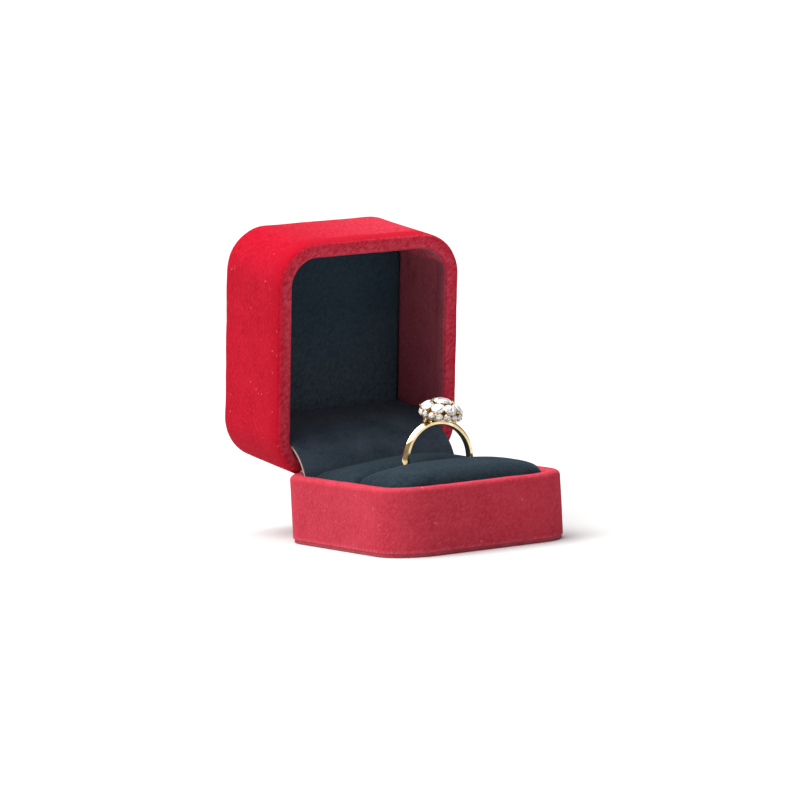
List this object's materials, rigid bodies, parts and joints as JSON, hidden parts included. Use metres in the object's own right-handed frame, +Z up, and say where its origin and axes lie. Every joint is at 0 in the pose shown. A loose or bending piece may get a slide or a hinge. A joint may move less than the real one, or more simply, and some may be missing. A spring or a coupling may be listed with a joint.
{
  "type": "jewelry gift box",
  "caption": "Velvet-covered ring gift box with a deep hinged lid, padded lining, hinge cover and slotted cushion holding a stone-set ring.",
  "frame": {"origin": "centre of the base's underside, where the box stands", "axes": "+X to the right of someone facing the open box, +Y towards the hinge, +Z up"},
  "size_m": [0.052, 0.0869, 0.0782],
  "materials": {
    "moulding": "matte",
    "red_velvet": "matte",
    "red_cloth": "matte",
    "dark_velvet": "matte",
    "board": "matte",
    "cover_card": "matte",
    "foam": "matte",
    "steel": "satin",
    "spring_steel": "satin",
    "gold": "polished",
    "stone": "polished"
  },
  "bodies": {
    "base": {"base_shell": "moulding", "base_velvet": "red_velvet", "bottom_board": "board", "bottom_cloth": "red_cloth", "cushion_carrier": "board", "cushion_foam_front": "foam", "cushion_foam_back": "foam", "cushion_velvet_front": "dark_velvet", "cushion_velvet_back": "dark_velvet", "base_leaf": "steel", "base_rivets": "steel", "hinge_pin": "steel", "snap_spring_left": "spring_steel", "snap_spring_right": "spring_steel"},
    "lid": {"lid_shell": "moulding", "lid_velvet": "red_velvet", "lid_strip": "red_velvet", "panel_board": "board", "panel_foam": "foam", "panel_velvet": "dark_velvet", "lid_leaf": "steel", "lid_rivets": "steel", "hinge_cover_card": "cover_card", "hinge_cover_velvet": "dark_velvet"},
    "ring": {"ring_band": "gold", "ring_gallery": "gold", "ring_claws": "gold", "ring_middle_stone": "stone", "ring_petal_stones": "stone", "ring_small_stones": "stone"}
  },
  "joints": [
    {"name": "lid_hinge", "type": "hinge", "parent": "base", "child": "lid", "pos_m": [0, 0.0279, 0.01705], "axis": [1, 0, 0], "range_deg": [0, 82], "deforming": ["hinge_cover_card", "hinge_cover_velvet", "snap_spring_left", "snap_spring_right"]},
    {"name": "ring_lift", "type": "slide", "parent": "base", "child": "ring", "axis": [0, 0, 1], "range_m": [0, 0.003]}
  ]
}
